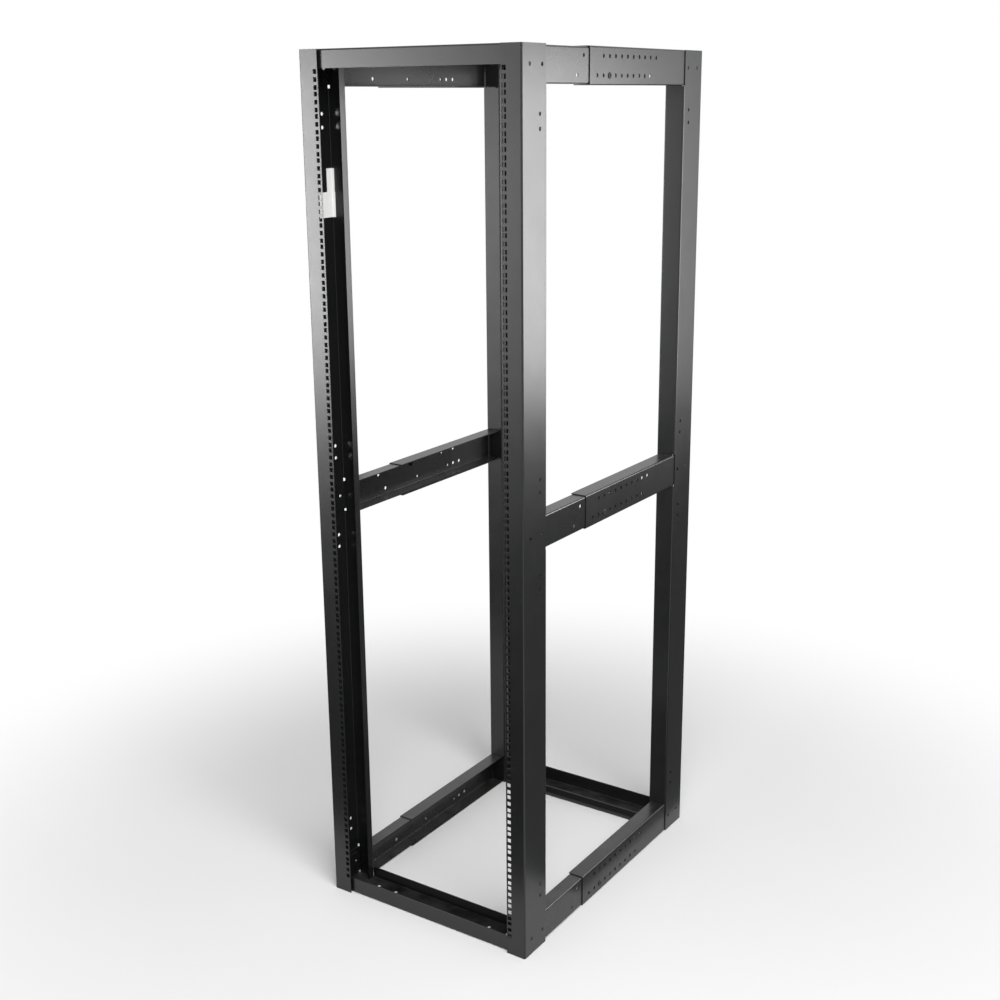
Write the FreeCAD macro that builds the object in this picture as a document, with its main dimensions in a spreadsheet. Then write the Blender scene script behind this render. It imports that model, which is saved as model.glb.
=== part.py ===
"""Four post open frame rack, 19 inch, 42 units, of bent and punched sheet steel.

The frame is X across, Y from the front to the rear and Z up, in millimetres. The origin is
on the floor, under the middle of the rack. Four kinds of pressed part make the whole rack:
one post, used four times, one crossbar, used four times, and a telescoping rail of an inner
and an outer piece, used six times. Like parts are one design, turned to its place.
"""
import FreeCAD, Part
import math
import os
import Sketcher

SIZES = [
    # the rack as a whole
    ("unit_count", 42, "rack units between the crossbars"),
    ("unit_height", 44.45, "one rack unit"),
    ("end_margin", 38.1, "from the outermost unit to the end of a post"),
    ("rack_width", 546.1, "over the outsides of the posts"),
    ("rack_depth", 762, "over the hole flanges of front and rear posts"),
    ("opening_width", 450.85, "clear width between the hole flanges"),
    ("sheet", 2, "steel sheet of every part"),
    ("bend_radius", 1.5, "inside radius of the bends"),
    # equipment holes
    ("hole_inset", 7.125, "inner edge of a hole flange to its column of square holes"),
    ("square_hole", 9.5, "side of a square hole"),
    ("end_hole", 6.35, "from a unit's edge to its first hole"),
    ("hole_step", 15.875, "from hole to hole within a unit"),
    # posts
    ("post_depth", 88.9, "side wall of a post, front to rear"),
    ("post_lip", 20, "lip on the inner flange of a post"),
    ("bolt_inset", 27, "rail bolt nearest to the hole flange"),
    ("bolt_step", 44.45, "between the two rail bolts"),
    ("bolt_hole", 8.4, "bolt holes"),
    ("spare_inset", 63.5, "column of spare holes in the side wall"),
    ("spare_near", 91, "rail middle to the nearer spare hole"),
    ("spare_far", 119, "rail middle to the farther spare hole"),
    # rails
    ("rail_height", 76.2, "outer rail piece"),
    ("rail_flange", 38.1, "flange of the outer rail piece"),
    ("rail_seam", 255.1, "front end of the outer piece, from the front plane"),
    ("rail_overlap", 245.5, "how far the inner piece reaches into the outer one"),
    ("nest_gap", 0.25, "play between the flanges of the two pieces"),
    ("inner_flange", 33, "flange of the inner rail piece"),
    ("row_start", 284.7, "first hole of the early row, from the front plane"),
    ("row_pitch", 25.4, "hole to hole along a row"),
    ("row_count", 10, "holes in a row"),
    ("row_offset", 19.05, "row to the middle of the rail"),
    ("pair_pitch", 127, "pair to pair along the inner piece"),
    ("pair_count", 3, "pairs of holes in the inner piece"),
    ("tab_inset", 10, "end of a rail tab to the plane of the hole flange"),
    ("joggle", 5, "length of the offset bend in the inner piece"),
    ("post_gap", 1, "end of a rail flange to the post"),
    ("notch_gap", 1, "play of a rail in its notch, above and below"),
    ("notch_play", 0.3, "play of a rail in its notch, sideways"),
    # crossbars
    ("bar_height", 38.1, "outer wall of a crossbar"),
    ("bar_wall", 28, "inner wall of a crossbar"),
    ("bar_setback", 7, "outer wall behind the plane of the hole flange"),
    ("bar_gap", 1, "play of a crossbar round the lip of a post"),
    ("tab_height", 60, "end tab of a crossbar"),
    ("tab_depth", 72, "end tab of a crossbar, front to rear"),
    ("floor_hole_near", 135.5, "rack middle to the nearer hole in the crossbar web"),
    ("floor_hole_far", 186, "rack middle to the farther hole in the crossbar web"),
    ("floor_hole_inset", 60, "holes in the crossbar web, from the hole flange"),
]

doc = FreeCAD.newDocument("FourPostRack")
sheet = doc.addObject("Spreadsheet::Sheet", "Sizes")
for row, (alias, value, meaning) in enumerate(SIZES, start=1):
    sheet.set("A%d" % row, meaning)
    sheet.set("B%d" % row, str(value))
    sheet.setAlias("B%d" % row, alias)
doc.recompute()


def size(text):
    """Write a sum of sizes as an expression: every word in it is an alias of the sheet."""
    words = text.split(" ")
    return " ".join("Sizes." + word if word[0].isalpha() else word for word in words)


RACK_HEIGHT = "( unit_count * unit_height + 2 * end_margin )"
HALF_WIDTH = "( rack_width / 2 )"
FLANGE = "( ( rack_width - opening_width ) / 2 )"
RAIL_FACE = "( rack_width / 2 - sheet )"
INNER_HEIGHT = "( rail_height - 2 * sheet - 2 * nest_gap )"
OUTER_BEND = "( bend_radius + sheet )"
RAIL_LEVELS = {
    "bottom": "rail_height / 2",
    "middle": RACK_HEIGHT + " / 2",
    "top": RACK_HEIGHT + " - rail_height / 2",
}


# ---------------------------------------------------------------- sketches and features

def new_body(name):
    body = doc.addObject("PartDesign::Body", name)
    body.Label = name
    return body


def new_sketch(body, name, plane, offset=None):
    """A sketch on one of the body's own origin planes, moved along its normal by an offset."""
    sketch = body.newObject("Sketcher::SketchObject", name)
    support = [part for part in body.Origin.OriginFeatures if part.Role == plane][0]
    sketch.AttachmentSupport = [(support, "")]
    sketch.MapMode = "FlatFace"
    if offset:
        sketch.setExpression("AttachmentOffset.Base.z", size(offset))
    return sketch


def place_point(sketch, curve, end, across, up):
    """Fix one point of a sketch at two sizes from the sketch's origin."""
    for kind, text in (("DistanceX", across), ("DistanceY", up)):
        index = sketch.addConstraint(Sketcher.Constraint(kind, -1, 1, curve, end, 1.0))
        sketch.setExpression("Constraints[%d]" % index, size(text))


def add_outline(sketch, corners):
    """A closed outline of straight lines through corners that are pairs of sizes."""
    count = len(corners)
    ring = []
    for step in range(count):
        turn = 2 * math.pi * step / count
        ring.append(FreeCAD.Vector(100 * math.cos(turn), 100 * math.sin(turn), 0))
    first = sketch.GeometryCount
    for step in range(count):
        sketch.addGeometry(Part.LineSegment(ring[step], ring[(step + 1) % count]))
    for step in range(count):
        following = first + (step + 1) % count
        sketch.addConstraint(Sketcher.Constraint("Coincident", first + step, 2, following, 1))
    for step, (across, up) in enumerate(corners):
        place_point(sketch, first + step, 1, across, up)


def add_box(sketch, left, right, low, high):
    add_outline(sketch, [(left, low), (right, low), (right, high), (left, high)])


def add_circle(sketch, across, up, diameter):
    start = FreeCAD.Vector(10, 10, 0)
    curve = sketch.addGeometry(Part.Circle(start, FreeCAD.Vector(0, 0, 1), 5))
    index = sketch.addConstraint(Sketcher.Constraint("Diameter", curve, 10.0))
    sketch.setExpression("Constraints[%d]" % index, size(diameter))
    place_point(sketch, curve, 3, across, up)


def pad(body, sketch, length, reverse=False, centred=False):
    feature = body.newObject("PartDesign::Pad", sketch.Name + "Pad")
    feature.Profile = sketch
    feature.Reversed = reverse
    if centred:
        feature.SideType = "Symmetric"
    feature.setExpression("Length", size(length))
    doc.recompute()
    return feature


def pocket(body, sketch, length=None, reverse=False):
    """Cut a sketch into the body, and make sure that the cut meets metal."""
    before = body.Shape.Volume
    feature = body.newObject("PartDesign::Pocket", sketch.Name + "Pocket")
    feature.Profile = sketch
    feature.Reversed = reverse
    if length:
        feature.setExpression("Length", size(length))
    else:
        feature.SideType = "Symmetric"
        feature.Type = "ThroughAll"
    doc.recompute()
    if not feature.Shape.Volume < before:
        raise RuntimeError(feature.Name + " cuts nothing")
    return feature


def repeat(body, feature, sketch, axis, length, count):
    """Repeat a feature along the H or V axis of its sketch."""
    pattern = body.newObject("PartDesign::LinearPattern", feature.Name + "Row")
    pattern.Originals = [feature]
    pattern.Direction = (sketch, [axis])
    pattern.setExpression("Length", size(length))
    pattern.setExpression("Occurrences", size(count))
    body.Tip = pattern
    doc.recompute()
    return pattern


def round_bends(body, feature, axis, outer, inner):
    """Round the bends that run along an axis, at corners given by their two other places."""
    across = {"X": ("y", "z"), "Y": ("x", "z"), "Z": ("x", "y")}[axis]
    along = axis.lower()
    for name, corners, radius in (("Outer", outer, OUTER_BEND), ("Inner", inner, "bend_radius")):
        base = body.Tip
        chosen = []
        for number, edge in enumerate(base.Shape.Edges, start=1):
            ends = [vertex.Point for vertex in edge.Vertexes]
            if len(ends) != 2 or abs(getattr(ends[0], along) - getattr(ends[1], along)) < 1:
                continue
            for corner in corners:
                gaps = [abs(getattr(end, letter) - place)
                        for end in ends for letter, place in zip(across, corner)]
                if max(gaps) < 0.01:
                    chosen.append("Edge%d" % number)
        fillet = body.newObject("PartDesign::Fillet", feature.Name + name + "Bends")
        fillet.Base = (base, chosen)
        fillet.setExpression("Radius", size(radius))
        doc.recompute()


def set_place(body, x="0", y="0", z="0", axis=None):
    """Put a finished body in the rack, turned half a turn about an axis where one is given."""
    if axis:
        body.Placement = FreeCAD.Placement(FreeCAD.Vector(), FreeCAD.Rotation(axis, 180))
    for letter, text in (("x", x), ("y", y), ("z", z)):
        body.setExpression("Placement.Base." + letter, size(text))


X_AXIS = FreeCAD.Vector(1, 0, 0)
Y_AXIS = FreeCAD.Vector(0, 1, 0)
Z_AXIS = FreeCAD.Vector(0, 0, 1)
wide = sheet.rack_width
thick = sheet.sheet
flange = (sheet.rack_width - sheet.opening_width) / 2


# ---------------------------------------------------------------- posts

def make_post(name):
    """A post as it stands at the front left: its outer front corner is the body's origin.

    The sheet runs from the hole flange round the side wall to the inner flange and its lip.
    """
    body = new_body(name)
    section = new_sketch(body, name + "_section", "XY_Plane")
    back = "post_depth"
    add_outline(section, [
        ("0", "0"),
        (FLANGE, "0"),
        (FLANGE, "sheet"),
        ("sheet", "sheet"),
        ("sheet", back + " - sheet"),
        (FLANGE + " - sheet", back + " - sheet"),
        (FLANGE + " - sheet", back + " - post_lip"),
        (FLANGE, back + " - post_lip"),
        (FLANGE, back),
        ("0", back),
    ])
    column = pad(body, section, RACK_HEIGHT)
    depth = sheet.post_depth
    round_bends(body, column, "Z",
                [(0, 0), (0, depth), (flange, depth)],
                [(thick, thick), (thick, depth - thick), (flange - thick, depth - thick)])

    notches = new_sketch(body, name + "_notches", "YZ_Plane", "-1 * sheet")
    for level in RAIL_LEVELS.values():
        add_box(notches, back + " - " + OUTER_BEND, back + " + sheet",
                level + " - rail_height / 2 - notch_gap", level + " + rail_height / 2 + notch_gap")
    pocket(body, notches, "4 * sheet + notch_play", reverse=True)

    bolts = new_sketch(body, name + "_bolts", "YZ_Plane")
    for level in RAIL_LEVELS.values():
        add_circle(bolts, "bolt_inset", level, "bolt_hole")
        add_circle(bolts, "bolt_inset + bolt_step", level, "bolt_hole")
    for level, sides in (("bottom", "+"), ("middle", "+-"), ("top", "-")):
        for side in sides:
            for reach in ("spare_near", "spare_far"):
                add_circle(bolts, "spare_inset", " ".join((RAIL_LEVELS[level], side, reach)),
                           "bolt_hole")
    pocket(body, bolts, "2 * sheet", reverse=True)

    squares = new_sketch(body, name + "_squares", "XZ_Plane")
    centre = FLANGE + " - hole_inset"
    for step in range(3):
        height = "end_margin + end_hole + %d * hole_step" % step
        add_box(squares, centre + " - square_hole / 2", centre + " + square_hole / 2",
                height + " - square_hole / 2", height + " + square_hole / 2")
    unit = pocket(body, squares, "2 * sheet")
    repeat(body, unit, squares, "V_Axis", "( unit_count - 1 ) * unit_height", "unit_count")
    return body


# ---------------------------------------------------------------- crossbars

def make_crossbar(name):
    """A crossbar as it lies at the front on the floor, with its middle at the body's origin.

    It is a channel that is open upwards. Its ends pass behind the hole flanges of the posts
    and turn up as tabs, which the rail bolts hold to the side walls.
    """
    length = "( rack_width - 4 * sheet )"
    clear = "( opening_width / 2 - bar_gap )"
    lip_inner = "( opening_width / 2 + sheet + bar_gap )"
    body = new_body(name)
    section = new_sketch(body, name + "_section", "YZ_Plane")
    add_outline(section, [
        ("bar_setback", "0"),
        ("post_depth", "0"),
        ("post_depth", "bar_wall"),
        ("post_depth - sheet", "bar_wall"),
        ("post_depth - sheet", "sheet"),
        ("bar_setback + sheet", "sheet"),
        ("bar_setback + sheet", "bar_height"),
        ("bar_setback", "bar_height"),
    ])
    channel = pad(body, section, length, centred=True)
    near = sheet.bar_setback
    far = sheet.post_depth
    round_bends(body, channel, "X", [(near, 0), (far, 0)],
                [(near + thick, thick), (far - thick, thick)])

    corners = new_sketch(body, name + "_corners", "XY_Plane")
    for side in ("1 * ", "-1 * "):
        add_outline(corners, [
            (side + clear, "post_depth - post_lip - bar_gap"),
            (side + lip_inner, "post_depth - post_lip - bar_gap"),
            (side + lip_inner, "post_depth - sheet - bend_radius - bar_gap"),
            (side + length, "post_depth - sheet - bend_radius - bar_gap"),
            (side + length, "post_depth + bar_gap"),
            (side + clear, "post_depth + bar_gap"),
        ])
    pocket(body, corners)

    for side, offset in (("right", length + " / 2 - sheet"), ("left", "-1 * " + length + " / 2")):
        tab = new_sketch(body, name + "_tab_" + side, "YZ_Plane", offset)
        add_box(tab, "bar_setback", "bar_setback + tab_depth", "sheet / 2", "tab_height")
        pad(body, tab, "sheet")

    bolts = new_sketch(body, name + "_bolts", "YZ_Plane")
    add_circle(bolts, "bolt_inset", "rail_height / 2", "bolt_hole")
    add_circle(bolts, "bolt_inset + bolt_step", "rail_height / 2", "bolt_hole")
    pocket(body, bolts)

    floor_holes = new_sketch(body, name + "_floor_holes", "XY_Plane")
    for place in ("floor_hole_near", "floor_hole_far"):
        for side in ("1 * ", "-1 * "):
            add_circle(floor_holes, side + place, "floor_hole_inset", "bolt_hole")
    pocket(body, floor_holes)
    return body


# ---------------------------------------------------------------- rails

def add_channel(body, name, face, height, reach, start, end):
    """A channel along Y, open to the inside of the rack, with its web's outside at a face."""
    section = new_sketch(body, name + "_section", "XZ_Plane", "-1 * " + start)
    inside = face + " - " + reach
    half = height + " / 2"
    add_outline(section, [
        (face, "-1 * " + half),
        (face, half),
        (inside, half),
        (inside, half + " - sheet"),
        (face + " - sheet", half + " - sheet"),
        (face + " - sheet", "sheet - " + half),
        (inside, "sheet - " + half),
        (inside, "-1 * " + half),
    ])
    return pad(body, section, end + " - " + start, reverse=True)


def round_channel(body, channel, side, top):
    """Round a channel's bends, given where its web's outside and its top are."""
    inner_side = side - thick
    inner_top = top - thick
    round_bends(body, channel, "Y", [(side, top), (side, -top)],
                [(inner_side, inner_top), (inner_side, -inner_top)])


def punch_rail(body, name, first_bolt, first_hole, step, count):
    """Two bolt holes in a rail's tab, and two staggered rows of holes in its web."""
    bolts = new_sketch(body, name + "_bolts", "YZ_Plane", HALF_WIDTH)
    add_circle(bolts, first_bolt, "0", "bolt_hole")
    add_circle(bolts, first_bolt + " + bolt_step", "0", "bolt_hole")
    pocket(body, bolts, "4 * sheet")
    holes = new_sketch(body, name + "_holes", "YZ_Plane", HALF_WIDTH)
    add_circle(holes, first_hole, "-1 * row_offset", "bolt_hole")
    add_circle(holes, first_hole + " + row_pitch", "row_offset", "bolt_hole")
    pair = pocket(body, holes, "4 * sheet")
    repeat(body, pair, holes, "H_Axis", "( " + count + " - 1 ) * " + step, count)


def make_outer_rail(name):
    """The rear piece of a right rail, with its middle height at the body's origin.

    Its flanges stop at the rear post, and its web runs on as a tab inside the post.
    """
    body = new_body(name)
    channel = add_channel(body, name, RAIL_FACE, "rail_height", "rail_flange",
                          "rail_seam", "( rack_depth - tab_inset )")
    round_channel(body, channel, wide / 2 - thick, sheet.rail_height / 2)
    end = new_sketch(body, name + "_end", "XY_Plane")
    add_box(end, RAIL_FACE + " - rail_flange - sheet", RAIL_FACE + " - sheet",
            "rack_depth - post_depth - post_gap", "rack_depth")
    pocket(body, end)
    punch_rail(body, name, "rack_depth - bolt_inset - bolt_step", "row_start",
               "row_pitch", "row_count")
    return body


def make_inner_rail(name):
    """The front piece of a right rail, which slides inside the outer piece.

    Its tab is offset outwards by one sheet inside the front post, so that both pieces of a
    rail lie against the side walls of their posts.
    """
    body = new_body(name)
    web_face = "( rack_width / 2 - 2 * sheet )"
    start = "( post_depth + post_gap )"
    channel = add_channel(body, name, web_face, INNER_HEIGHT, "inner_flange",
                          start, "( rail_seam + rail_overlap )")
    round_channel(body, channel, wide / 2 - 2 * thick,
                  sheet.rail_height / 2 - thick - sheet.nest_gap)
    tab = new_sketch(body, name + "_tab", "XY_Plane")
    turn = "post_depth - sheet - bend_radius - joggle"
    add_outline(tab, [
        (RAIL_FACE, "tab_inset"),
        (RAIL_FACE, turn),
        (web_face, turn + " + joggle"),
        (web_face, start),
        (web_face + " - sheet", start),
        (web_face + " - sheet", turn + " + joggle"),
        (web_face, turn),
        (web_face, "tab_inset"),
    ])
    pad(body, tab, INNER_HEIGHT + " - 2 * " + OUTER_BEND, centred=True)
    punch_rail(body, name, "bolt_inset", "row_start - 3 * row_pitch", "pair_pitch", "pair_count")
    return body


# ---------------------------------------------------------------- the rack

LEFT = "-1 * " + HALF_WIDTH
FRONT = "-1 * rack_depth / 2"
REAR = "rack_depth / 2"
parts = []

for name, x, y, z, axis in (
        ("front_left_post", LEFT, FRONT, "0", None),
        ("front_right_post", HALF_WIDTH, FRONT, RACK_HEIGHT, Y_AXIS),
        ("rear_left_post", LEFT, REAR, RACK_HEIGHT, X_AXIS),
        ("rear_right_post", HALF_WIDTH, REAR, "0", Z_AXIS)):
    post = make_post(name)
    set_place(post, x, y, z, axis)
    parts.append(post)

for name, y, z, axis in (
        ("front_bottom_crossbar", FRONT, "0", None),
        ("front_top_crossbar", FRONT, RACK_HEIGHT, Y_AXIS),
        ("rear_top_crossbar", REAR, RACK_HEIGHT, X_AXIS),
        ("rear_bottom_crossbar", REAR, "0", Z_AXIS)):
    crossbar = make_crossbar(name)
    set_place(crossbar, "0", y, z, axis)
    parts.append(crossbar)

for level, height in RAIL_LEVELS.items():
    for side, axis in (("right", None), ("left", Y_AXIS)):
        for piece, make in (("front", make_inner_rail), ("rear", make_outer_rail)):
            rail = make("_".join((side, level, "rail", piece)))
            set_place(rail, "0", FRONT, height, axis)
            parts.append(rail)

doc.recompute()
for item in doc.Objects:
    if "Invalid" in item.State or "Error" in item.State:
        raise RuntimeError(item.Name + " did not build")
for part in parts:
    if part.Shape.isNull() or not part.Shape.isValid() or len(part.Shape.Solids) != 1:
        raise RuntimeError(part.Label + " is not one sound solid")

os.makedirs("parts", exist_ok=True)
for part in parts:
    part.Shape.exportStep("parts/" + part.Label + ".step")
    print(part.Label, round(part.Shape.Volume / 1000, 1), "cm3")
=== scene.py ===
"""Four post open frame rack of bent and punched steel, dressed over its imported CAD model."""
import math

import bmesh
import bpy
from mathutils import Matrix, Vector


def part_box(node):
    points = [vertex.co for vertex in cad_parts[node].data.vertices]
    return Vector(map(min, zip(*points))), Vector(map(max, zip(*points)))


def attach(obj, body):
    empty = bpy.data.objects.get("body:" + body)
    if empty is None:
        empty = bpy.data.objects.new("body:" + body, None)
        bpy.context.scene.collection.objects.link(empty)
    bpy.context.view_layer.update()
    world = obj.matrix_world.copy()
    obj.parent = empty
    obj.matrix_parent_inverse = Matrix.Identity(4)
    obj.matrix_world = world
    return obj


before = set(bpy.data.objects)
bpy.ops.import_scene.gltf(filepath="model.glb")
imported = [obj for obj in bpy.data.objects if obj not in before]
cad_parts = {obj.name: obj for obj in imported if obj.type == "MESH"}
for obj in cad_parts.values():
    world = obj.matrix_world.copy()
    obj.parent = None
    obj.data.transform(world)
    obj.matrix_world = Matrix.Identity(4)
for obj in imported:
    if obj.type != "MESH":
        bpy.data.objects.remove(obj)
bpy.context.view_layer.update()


# ---------------------------------------------------------------- posts
# Four channel posts, each bent from one strip of 2 mm steel and punched with square holes for
# cage nuts. They are powder coated satin black after bending, so the film is thin on the bends
# and the hole edges and has a fine orange peel on the flats.

class Value:
    """One socket of a tree of nodes. A sum written on it adds the Math nodes for that sum."""

    def __init__(self, nodes, socket):
        self.nodes, self.socket = nodes, socket

    def calc(self, operation, first, second):
        return self.nodes.node("ShaderNodeMath", {"operation": operation}, {0: first, 1: second})

    def __add__(self, other):
        return self.calc("ADD", self, other)

    def __radd__(self, other):
        return self.calc("ADD", other, self)

    def __sub__(self, other):
        return self.calc("SUBTRACT", self, other)

    def __rsub__(self, other):
        return self.calc("SUBTRACT", other, self)

    def __mul__(self, other):
        return self.calc("MULTIPLY", self, other)

    def __rmul__(self, other):
        return self.calc("MULTIPLY", other, self)

    def between(self, low, high):
        """0 below low, 1 above high and a smooth step from one to the other."""
        return self.nodes.node("ShaderNodeMapRange", {"interpolation_type": "SMOOTHSTEP"},
                               {"Value": self, "From Min": low, "From Max": high})


class Nodes:
    """The nodes of one finish, or of the white surround."""

    def __init__(self, tree):
        self.tree = tree

    def node(self, kind, settings=None, sockets=None, output=0):
        """Add a node: its settings first, then the values or links of its sockets."""
        made = self.tree.nodes.new(kind)
        for setting, value in (settings or {}).items():
            setattr(made, setting, value)
        for socket, value in (sockets or {}).items():
            self.join(value, made.inputs[socket])
        return Value(self, made.outputs[output])

    def join(self, value, socket):
        """Link a value to a socket, or write a plain number or colour on it."""
        if isinstance(value, Value):
            self.tree.links.new(value.socket, socket)
        else:
            socket.default_value = value


class Finish(Nodes):
    """One material with a Principled shader, whose constant values go straight on the shader."""

    def __init__(self, name, **shader_values):
        self.material = bpy.data.materials.new(name)
        self.material.use_nodes = True
        super().__init__(self.material.node_tree)
        self.shader = self.tree.nodes["Principled BSDF"]
        self.feed(**shader_values)
        self.place = self.node("ShaderNodeTexCoord", output="Object")

    def feed(self, **shader_sockets):
        for socket, value in shader_sockets.items():
            self.join(value, self.shader.inputs[socket.replace("_", " ")])

    def noise(self, scale, detail=2.0, roughness=0.5):
        return self.node("ShaderNodeTexNoise", {},
                         {"Vector": self.place, "Scale": scale, "Detail": detail,
                          "Roughness": roughness})

    def blend(self, share, first, second):
        """A colour between two colours, which are the Mix node's sockets 6 and 7."""
        return self.node("ShaderNodeMix", {"data_type": "RGBA"},
                         {0: share, 6: first, 7: second}, output=2)

    def bump(self, height, strength, distance):
        return self.node("ShaderNodeBump", {},
                         {"Height": height, "Strength": strength, "Distance": distance})

    def face(self):
        """The way that the surface faces."""
        return self.node("ShaderNodeNewGeometry", output="Normal")

    def edges(self, radius, samples):
        """How far a corner or a bend turns away from the face that it belongs to."""
        rounded = self.node("ShaderNodeBevel", {"samples": samples}, {"Radius": radius})
        return 1.0 - self.node("ShaderNodeVectorMath", {"operation": "DOT_PRODUCT"},
                               {0: self.face(), 1: rounded}, output="Value")


def grey(value, tint=0.0):
    """A neutral colour, a little bluer by the tint."""
    return (value * (1 - tint), value, value * (1 + tint), 1.0)


def powder_coat(name, shade, roughness, dust):
    """Satin black powder coat: orange peel, thin bright bends, soft haze and dust on top faces."""
    coat = Finish(name, IOR=1.5)
    broad = coat.noise(3.2, 3.0)
    patches = coat.noise(21.0, 4.0, 0.6)
    grain = coat.noise(640.0)
    peel = coat.noise(260.0, 1.0)

    worn = coat.edges(radius=0.0012, samples=6).between(0.10, 0.32) * patches.between(0.42, 0.62)
    up = coat.node("ShaderNodeSeparateXYZ", {}, {0: coat.face()}, output="Z")
    settled = up.between(0.35, 0.95) * patches.between(0.3, 0.72) * dust
    dust_colour = (0.19, 0.18, 0.165, 1.0)

    mottle = broad * 0.35 + patches * 0.25 + grain * 0.4
    black = coat.blend(mottle.between(0.32, 0.68), grey(shade * 0.82, 0.03), grey(shade * 1.18, 0.03))
    black = coat.blend(worn * 0.35, black, grey(shade * 3.2, 0.02))
    coat.feed(
        Base_Color=coat.blend(settled, black, dust_colour),
        Roughness=roughness - 0.05 + broad * 0.05 + patches * 0.06 + settled * 0.3 - worn * 0.06,
        Normal=coat.bump(peel * 0.7 + grain * 0.3, strength=0.32, distance=0.00012),
    )
    return coat.material


def finish_nodes(names, material):
    """Give a finish to CAD nodes, in place of the plain colour that they were packed with."""
    for name in names:
        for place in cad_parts[name].material_slots:
            place.material = material


POSTS = ["front_left_post", "front_right_post", "rear_left_post", "rear_right_post"]
finish_nodes(POSTS, powder_coat("post_powder_coat", shade=0.0075, roughness=0.29, dust=0.06))
post_low, post_high = (Vector(corner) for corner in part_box("front_right_post"))
rack_width = 2 * post_high.x
rack_depth = -2 * post_low.y
rack_height = post_high.z
post_depth = post_high.y - post_low.y
sheet = 0.002


# ---------------------------------------------------------------- crossbars
# Four channels of the same 2 mm steel join the posts at the floor and at the top. Their ends
# pass behind the hole flanges and turn up as tabs, held by the same bolts as the rails.

CROSSBARS = ["front_bottom_crossbar", "front_top_crossbar",
             "rear_bottom_crossbar", "rear_top_crossbar"]
finish_nodes(CROSSBARS, powder_coat("crossbar_powder_coat", shade=0.0075, roughness=0.31, dust=0.1))


# ---------------------------------------------------------------- side rails
# Each side has three telescoping rails: a punched outer channel on the rear post and a smaller
# one, nested in it, on the front post. The nested faces rub, so the inner pieces are smoother.

RAILS = ["%s_%s_rail" % (side, level)
         for level in ("bottom", "middle", "top") for side in ("left", "right")]
finish_nodes([rail + "_rear" for rail in RAILS],
             powder_coat("outer_rail_powder_coat", shade=0.0075, roughness=0.30, dust=0.1))
finish_nodes([rail + "_front" for rail in RAILS],
             powder_coat("inner_rail_powder_coat", shade=0.0082, roughness=0.27, dust=0.1))
rail_low, rail_high = (Vector(corner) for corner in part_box("right_middle_rail_rear"))
rail_height = rail_high.z - rail_low.z
RAIL_LEVELS = {"bottom": rail_height / 2, "middle": rack_height / 2,
               "top": rack_height - rail_height / 2}


# ---------------------------------------------------------------- post screws
# The rails and crossbars are pulled against the posts' side walls by M8 flange screws of black
# oxide steel. They go in from inside the channel, so only their ends show, just in the holes.

def black_oxide(name, shade, roughness):
    """Oiled black oxide on turned steel: fine turning marks, with bare metal on the corners."""
    oxide = Finish(name, Metallic=0.2, IOR=1.5)
    marks = oxide.noise(900.0)
    blotch = oxide.noise(160.0, 3.0)
    rubbed = oxide.edges(radius=0.0005, samples=4).between(0.03, 0.3) * blotch.between(0.4, 0.6)
    oxide.feed(
        Base_Color=oxide.blend(rubbed * 0.4, grey(shade), grey(0.12, 0.03)),
        Roughness=roughness + blotch * 0.12 - rubbed * 0.08,
        Normal=oxide.bump(marks, strength=0.25, distance=0.00006),
    )
    return oxide.material


def into_scene(name, mesh, material):
    """Put a finished mesh into the scene, in one material."""
    data = bpy.data.meshes.new(name)
    mesh.to_mesh(data)
    mesh.free()
    data.materials.append(material)
    made = bpy.data.objects.new(name, data)
    bpy.context.scene.collection.objects.link(made)
    return made


def new_piece(name, mesh, material, sharp_from=35):
    """Make a piece that rides on the rack. Edges are sharp from so many degrees up."""
    bmesh.ops.remove_doubles(mesh, verts=mesh.verts, dist=1e-7)
    bmesh.ops.recalc_face_normals(mesh, faces=mesh.faces)
    for edge in mesh.edges:
        edge.smooth = (len(edge.link_faces) == 2
                       and edge.calc_face_angle(0) < math.radians(sharp_from))
    for face in mesh.faces:
        face.smooth = True
    piece = into_scene(name, mesh, material)
    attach(piece, "root")


def ring(mesh, radius, height, sides=48):
    """A ring of corners about the Z axis."""
    return [mesh.verts.new((radius * math.cos(2 * math.pi * step / sides),
                            radius * math.sin(2 * math.pi * step / sides), height))
            for step in range(sides)]


def hex_ring(mesh, across_flats, height, sides=48):
    """A ring that follows a hexagon with as many corners as a round ring has."""
    corners = []
    for step in range(sides):
        angle = 2 * math.pi * step / sides
        from_flat = (angle + math.pi / 6) % (math.pi / 3) - math.pi / 6
        radius = across_flats / 2 / math.cos(from_flat)
        corners.append(mesh.verts.new((radius * math.cos(angle), radius * math.sin(angle), height)))
    return corners


def skin(mesh, rings, closed_ends=True):
    """Join rings of as many corners each into a turned form."""
    for lower, upper in zip(rings, rings[1:]):
        for step in range(len(lower)):
            following = (step + 1) % len(lower)
            mesh.faces.new((lower[step], lower[following], upper[following], upper[step]))
    if closed_ends:
        mesh.faces.new(list(reversed(rings[0])))
        mesh.faces.new(rings[-1])


def threaded_end(mesh, radius, bottom, top):
    """A screw's shank: ridges at the thread's pitch, and a chamfered tip with a shallow dish."""
    pitch, sides = 0.00125, 32
    ridges = int((top - bottom) / pitch)
    rings = [ring(mesh, radius, bottom, sides)]
    for ridge in range(ridges):
        start = bottom + (top - bottom) * ridge / ridges
        rings.append(ring(mesh, radius * 0.9, start + pitch * 0.5, sides))
        if ridge < ridges - 1:
            rings.append(ring(mesh, radius, start + pitch * 0.95, sides))
    rings += [ring(mesh, radius * 0.96, top - pitch * 0.35, sides),
              ring(mesh, radius * 0.8, top, sides), ring(mesh, radius * 0.5, top - 0.00012, sides)]
    skin(mesh, rings)


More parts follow.
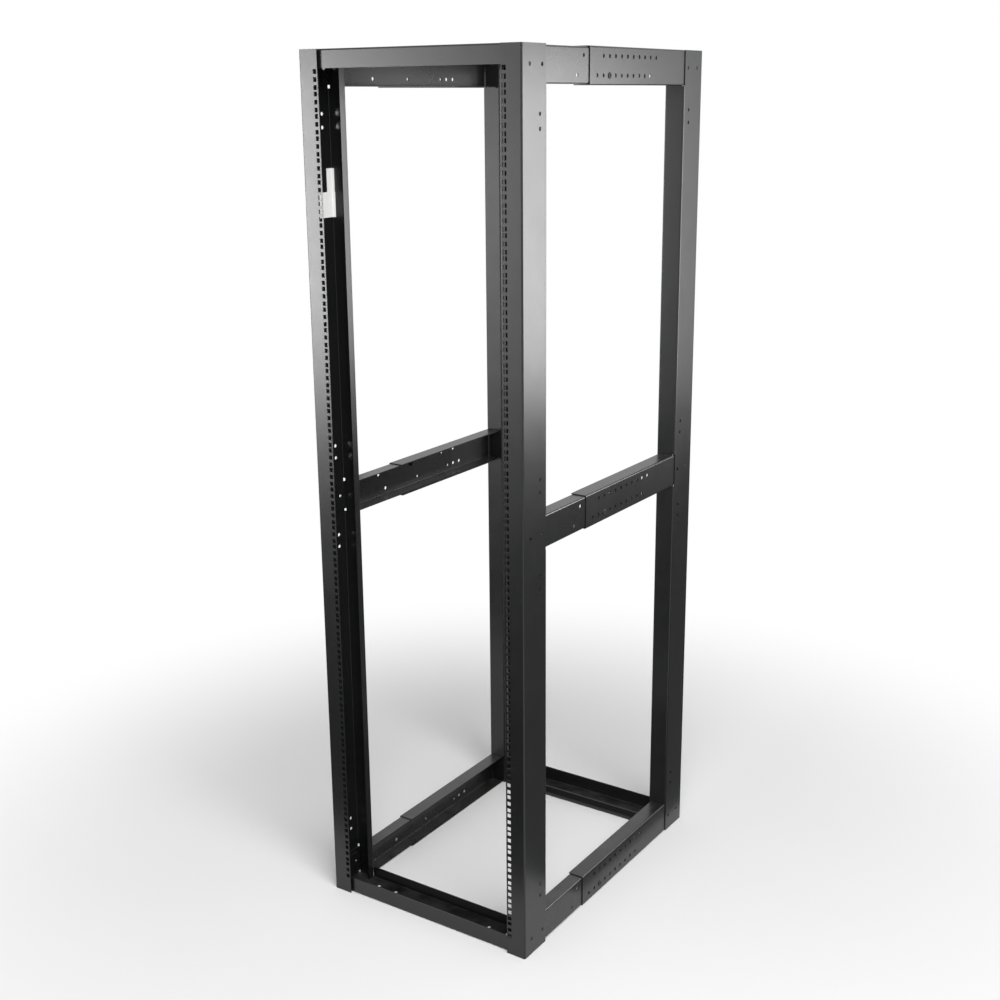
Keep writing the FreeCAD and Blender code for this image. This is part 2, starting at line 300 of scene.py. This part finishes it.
def flange_head(mesh, across_flats, flange, height):
    """A hex head with its own washer face, standing down from the plane Z = 0."""
    rim, cone, neck, crown, dish = 0.0007, 0.0016, 0.0024, 0.0011, 0.0006
    rings = [ring(mesh, flange, 0.0), ring(mesh, flange, -rim), ring(mesh, flange * 0.84, -cone),
             hex_ring(mesh, across_flats, -neck), hex_ring(mesh, across_flats, crown - height),
             ring(mesh, across_flats * 0.475, -height), ring(mesh, across_flats * 0.33, -height),
             ring(mesh, across_flats * 0.30, dish - height)]
    skin(mesh, rings)


def set_in_place(mesh, place, direction):
    """Turn what was made on the Z axis so that it points in a direction from a place."""
    spin = Vector((0, 0, 1)).rotation_difference(Vector(direction)).to_matrix().to_4x4()
    bmesh.ops.transform(mesh, verts=mesh.verts, matrix=Matrix.Translation(place) @ spin)


fastener_black = black_oxide("fastener_black_oxide", shade=0.009, roughness=0.52)
shank_start = -0.0002
tip_recess = 0.0007
bolt_inset = 0.027
bolt_step = 0.04445
outer_bolt = rack_depth / 2 - bolt_inset
inner_bolt = outer_bolt - bolt_step
RIGHT_FRONT = {"top": [outer_bolt], "middle": [inner_bolt], "bottom": [outer_bolt, inner_bolt]}
RIGHT_REAR = {"top": [outer_bolt, inner_bolt], "middle": [outer_bolt],
              "bottom": [outer_bolt, inner_bolt]}
LEFT = {"top": [outer_bolt], "middle": [outer_bolt], "bottom": [outer_bolt]}


def post_screws(end, forward, side, outward, used_holes):
    """One post's screws, by how far they are from the rack's middle. Other holes stay open.

    At the top and the bottom the crossbar's tab is a third sheet under the screw.
    """
    for level, distances in used_holes.items():
        clamped = 2 * sheet if level == "middle" else 3 * sheet
        for number, distance in enumerate(distances, 1):
            mesh = bmesh.new()
            flange_head(mesh, across_flats=0.0130, flange=0.0083, height=0.0065)
            threaded_end(mesh, radius=0.0039, bottom=shank_start, top=clamped - tip_recess)
            inside = outward * (rack_width / 2 - clamped)
            set_in_place(mesh, (inside, forward * distance, RAIL_LEVELS[level]), (outward, 0, 0))
            new_piece("%s_%s_%s_post_screw_%d" % (end, side, level, number), mesh,
                      fastener_black)


post_screws("front", -1, "right", 1, RIGHT_FRONT)
post_screws("rear", 1, "right", 1, RIGHT_REAR)
post_screws("front", -1, "left", -1, LEFT)
post_screws("rear", 1, "left", -1, LEFT)


# ---------------------------------------------------------------- depth bolts
# One low headed socket bolt through each telescoping rail sets the rack's depth. Its head bears
# on the outer channel, and a washer and a hex nut hold the nested channel from inside.

def low_head(mesh, diameter, height, socket, socket_depth):
    """A low domed head on the plane Z = 0, with a hex socket in its top."""
    rings = [ring(mesh, diameter / 2, 0.0), ring(mesh, diameter / 2, height * 0.3)]
    for turn in (20, 45, 68, 84):
        angle = math.radians(turn)
        rings.append(ring(mesh, diameter * (0.36 + 0.14 * math.cos(angle)),
                          height * (0.3 + 0.7 * math.sin(angle))))
    rings += [ring(mesh, socket * 0.66, height), hex_ring(mesh, socket * 1.06, height),
              hex_ring(mesh, socket, height - 0.0002),
              hex_ring(mesh, socket, height - socket_depth),
              ring(mesh, socket * 0.16, height - socket_depth * 1.2)]
    skin(mesh, rings)


def washer(mesh, outer, inner, bottom, thickness):
    """A flat washer with broken edges."""
    soft = thickness * 0.18
    rings = [ring(mesh, inner, bottom), ring(mesh, outer - soft, bottom),
             ring(mesh, outer, bottom + soft), ring(mesh, outer, bottom + thickness - soft),
             ring(mesh, outer - soft, bottom + thickness), ring(mesh, inner, bottom + thickness)]
    skin(mesh, rings + [rings[0]], closed_ends=False)


def hex_nut(mesh, across_flats, bore, bottom, height):
    """A nut with both ends chamfered to a circle and a countersunk bore."""
    chamfer = across_flats * 0.05
    top = bottom + height
    rings = [ring(mesh, bore, bottom + height * 0.09), ring(mesh, bore * 1.12, bottom),
             ring(mesh, across_flats * 0.475, bottom), hex_ring(mesh, across_flats, bottom + chamfer),
             hex_ring(mesh, across_flats, top - chamfer), ring(mesh, across_flats * 0.475, top),
             ring(mesh, bore * 1.12, top), ring(mesh, bore, top - height * 0.09)]
    skin(mesh, rings + [rings[0]], closed_ends=False)


depth_hole = 0.3355
row_offset = 0.01905
shank_past_sheets = 0.0078
washer_thickness = 0.0012
nut_height = 0.0052


def depth_bolt(side, outward, level, row):
    """One rail's bolt, with its washer and its nut."""
    mesh = bmesh.new()
    low_head(mesh, diameter=0.0126, height=0.0019, socket=0.0050, socket_depth=0.0013)
    threaded_end(mesh, radius=0.0030, bottom=shank_start, top=2 * sheet + shank_past_sheets)
    # The shank is turned over to point inward. Its first ridges stay inside the head.
    for vert in mesh.verts:
        beyond_head = vert.co.xy.length < 0.0031 and vert.co.z > 0.0021
        if beyond_head or abs(vert.co.z - shank_start) < 1e-6:
            vert.co.z = -vert.co.z
    under_washer = -2 * sheet - washer_thickness
    washer(mesh, outer=0.0065, inner=0.0033, bottom=under_washer, thickness=washer_thickness)
    hex_nut(mesh, across_flats=0.0100, bore=0.0031, bottom=under_washer - nut_height,
            height=nut_height)
    place = (outward * (rack_width / 2 - sheet), depth_hole - rack_depth / 2,
             RAIL_LEVELS[level] + row)
    set_in_place(mesh, place, (outward, 0, 0))
    new_piece("%s_%s_depth_bolt" % (side, level), mesh, fastener_black)


for level in RAIL_LEVELS:
    depth_bolt("right", 1, level, -row_offset)
    depth_bolt("left", -1, level, row_offset)


# ---------------------------------------------------------------- blank labels
# Two blank white paper stickers inside the front left post. Each is pressed round the channel's
# inside corner, from the side wall on to the inner flange.

def label_paper():
    """Uncoated white paper: fine fibres and a faint cloudiness."""
    paper = Finish("label_paper", Roughness=0.62, IOR=1.46)
    fibre = paper.noise(1500.0, 3.0, 0.65)
    cloud = paper.noise(90.0, 3.0)
    paper.feed(
        Base_Color=paper.blend(fibre * 0.5 + cloud * 0.5,
                               (0.84, 0.84, 0.83, 1.0), (0.92, 0.92, 0.91, 1.0)),
        Normal=paper.bump(fibre * 0.6 + cloud * 0.4, strength=0.3, distance=0.0001),
    )
    return paper.material


def corner_sticker(name, on_wall, on_flange, bottom, top, lift):
    """A sheet of paper that follows the wall, the bend and the flange at a small lift."""
    thickness = 0.00013
    wall = -rack_width / 2 + sheet
    flange = -rack_depth / 2 + post_depth - sheet
    bend = 0.0015

    def path(height):
        """The line that the paper takes at a height off the steel."""
        round_off = bend - height
        centre = Vector((wall + bend, flange - bend))
        line = [Vector((wall + height, flange - bend - (on_wall - bend) * (1 - share / 6)))
                for share in range(6)]
        for step in range(9):
            angle = math.radians(180 - 90 * step / 8)
            line.append(centre + round_off * Vector((math.cos(angle), math.sin(angle))))
        line += [Vector((wall + bend + (on_flange - bend) * share / 3, flange - height))
                 for share in (1, 2, 3)]
        return line

    mesh = bmesh.new()
    rows = []
    for step in range(9):
        z = bottom + (top - bottom) * step / 8
        rows.append([[mesh.verts.new((point.x, point.y, z)) for point in path(height)]
                     for height in (lift, lift + thickness)])
    for low, high in zip(rows, rows[1:]):
        for layer in (0, 1):
            for a, b, c, d in zip(low[layer], low[layer][1:], high[layer][1:], high[layer]):
                mesh.faces.new((a, b, c, d))
        for side in (0, -1):
            mesh.faces.new((low[0][side], low[1][side], high[1][side], high[0][side]))
    for row in (rows[0], rows[-1]):
        for a, b, c, d in zip(row[0], row[0][1:], row[1][1:], row[1]):
            mesh.faces.new((a, b, c, d))
    new_piece(name, mesh, white_paper, sharp_from=30)


white_paper = label_paper()
corner_sticker("upper_label", on_wall=0.0172, on_flange=0.0070,
               bottom=1.6490, top=1.7010, lift=0.00005)
corner_sticker("lower_label", on_wall=0.0430, on_flange=0.0080,
               bottom=1.5975, top=1.6512, lift=0.00020)


# ---------------------------------------------------------------- studio floor
# A wide sheet of pale matt board under the rack. It keeps the rack's shadow near the feet and
# runs out to plain white further off, where it meets the surround.

def seen(nodes):
    """1 for what is looked at, straight on, in a reflection or through glass, and else 0."""
    return (nodes.node("ShaderNodeLightPath", output="Is Camera Ray")
            + nodes.node("ShaderNodeLightPath", output="Is Glossy Ray")
            + nodes.node("ShaderNodeLightPath", output="Is Transmission Ray"))


def studio_floor():
    """The board, just under the rack's feet."""
    mesh = bmesh.new()
    bmesh.ops.create_grid(mesh, x_segments=24, y_segments=24, size=14.0)
    pale = Finish("floor_pale", Roughness=0.8, Specular_IOR_Level=0.1)
    pale.feed(Base_Color=pale.blend(pale.noise(0.6), grey(0.80), grey(0.84)))
    distance = pale.node("ShaderNodeVectorMath", {"operation": "LENGTH"}, {0: pale.place},
                         output="Value")
    board = Value(pale, pale.shader.outputs["BSDF"])
    white = pale.node("ShaderNodeEmission", {}, {"Color": (1, 1, 1, 1), "Strength": 1.0})
    surface = pale.node("ShaderNodeMixShader", {},
                        {0: distance.between(0.7, 1.9) * seen(pale), 1: board, 2: white})
    pale.join(surface, pale.tree.nodes["Material Output"].inputs["Surface"])
    floor = into_scene("studio_floor", mesh, pale.material)
    floor.location.z = -0.0005


studio_floor()


# ---------------------------------------------------------------- white surround
# The studio's white walls, far off on every side. They show as plain white, and give the rack a
# weak and even fill light.

world = bpy.data.worlds.new("studio")
bpy.context.scene.world = world
world.use_nodes = True
world.node_tree.nodes.remove(world.node_tree.nodes["Background"])
surround = Nodes(world.node_tree)
fill_light = surround.node("ShaderNodeBackground", {}, {"Color": (1, 1, 1, 1), "Strength": 0.45})
white_wall = surround.node("ShaderNodeBackground", {}, {"Color": (1, 1, 1, 1), "Strength": 1.0})
all_round = surround.node("ShaderNodeMixShader", {},
                          {0: seen(surround), 1: fill_light, 2: white_wall})
surround.join(all_round, surround.tree.nodes["World Output"].inputs["Surface"])


# ---------------------------------------------------------------- soft boxes
# Three lamps behind white cloth. The key hangs high over the rack and lights everything. The two
# beside the rack only make sheen on the steel: they leave the floor and the matt faces alone.

def soft_box(name, place, aim, width, height, power, lights_floor):
    """A rectangular lamp at a place, turned to an aim."""
    lamp = bpy.data.lights.new(name, "AREA")
    lamp.shape = "RECTANGLE"
    lamp.size, lamp.size_y = width, height
    lamp.energy = power
    box = bpy.data.objects.new(name, lamp)
    box.location = place
    box.rotation_euler = (Vector(aim) - Vector(place)).to_track_quat("-Z", "Y").to_euler()
    box.visible_camera = False
    box.visible_diffuse = lights_floor
    bpy.context.scene.collection.objects.link(box)


soft_box("right_soft_box", place=(1.83, 1.30, 1.40), aim=(0.25, -0.68, 1.40),
         width=1.3, height=1.2, power=46, lights_floor=False)
soft_box("left_soft_box", place=(-4.40, -4.10, 1.15), aim=(-0.2, -0.3, 1.15),
         width=1.6, height=2.1, power=250, lights_floor=False)
soft_box("key_soft_box", place=(2.3, -2.0, 4.3), aim=(0.0, 0.0, 0.6),
         width=3.0, height=3.0, power=225, lights_floor=True)


# ---------------------------------------------------------------- felt cards
# Cards of grey and black felt, laid on the floor and stood beside the rack. Only the steel's
# sheen shows them, so that its lower half and its inner faces stay dark.

def flag(name, shade, corners):
    """A card that is seen only in reflections, and throws no shadow."""
    mesh = bmesh.new()
    mesh.faces.new([mesh.verts.new(corner) for corner in corners])
    bmesh.ops.subdivide_edges(mesh, edges=mesh.edges, cuts=6, use_grid_fill=True)
    felt = Finish(name + "_felt", Roughness=0.95, Specular_IOR_Level=0.05)
    felt.feed(Base_Color=felt.blend(felt.noise(180.0), grey(shade * 0.7), grey(shade * 1.3)))
    card = into_scene(name, mesh, felt.material)
    card.visible_camera = card.visible_diffuse = card.visible_shadow = False


def lying(left, right, front, back):
    """The corners of a card that lies just over the floor."""
    height = 0.01
    return [(left, front, height), (right, front, height), (right, back, height),
            (left, back, height)]


flag("left_floor_flag", 0.03, lying(-4.2, 0.2, -4.6, -0.6))
flag("right_floor_flag", 0.16, lying(0.30, 4.2, -0.1, 5.2))
flag("inner_floor_flag", 0.12, lying(-0.22, 0.22, -0.32, 0.32))
flag("side_flag", 0.05,
     [(-0.6, -0.62, 0.3), (-0.6, 0.15, 0.3), (-0.6, 0.15, 2.4), (-0.6, -0.62, 2.4)])


# ---------------------------------------------------------------- camera
# A camera with a 36 mm wide sensor and a 50 mm lens, on a stand to the right of the rack's
# front. It is just under the rack's top, tipped down by 16 degrees, and its lens is shifted.

yaw, pitch, roll = 0.5899, -0.2735, -0.0084
forward = Vector((-math.sin(yaw) * math.cos(pitch), math.cos(yaw) * math.cos(pitch),
                  math.sin(pitch)))
level_right = Vector((math.cos(yaw), math.sin(yaw), 0))
level_up = level_right.cross(forward)
right = math.cos(roll) * level_right + math.sin(roll) * level_up
up = -math.sin(roll) * level_right + math.cos(roll) * level_up
lens = bpy.data.cameras.new("camera")
lens.sensor_width = 36
lens.lens = 50.37
lens.shift_y = -0.0108
camera = bpy.data.objects.new("camera", lens)
camera.matrix_world = Matrix.Translation((1.7415, -2.6591, 1.8459)) @ Matrix(
    (right, up, -forward)).transposed().to_4x4()
bpy.context.scene.collection.objects.link(camera)
bpy.context.scene.camera = camera
bpy.context.scene.view_settings.view_transform = "Standard"
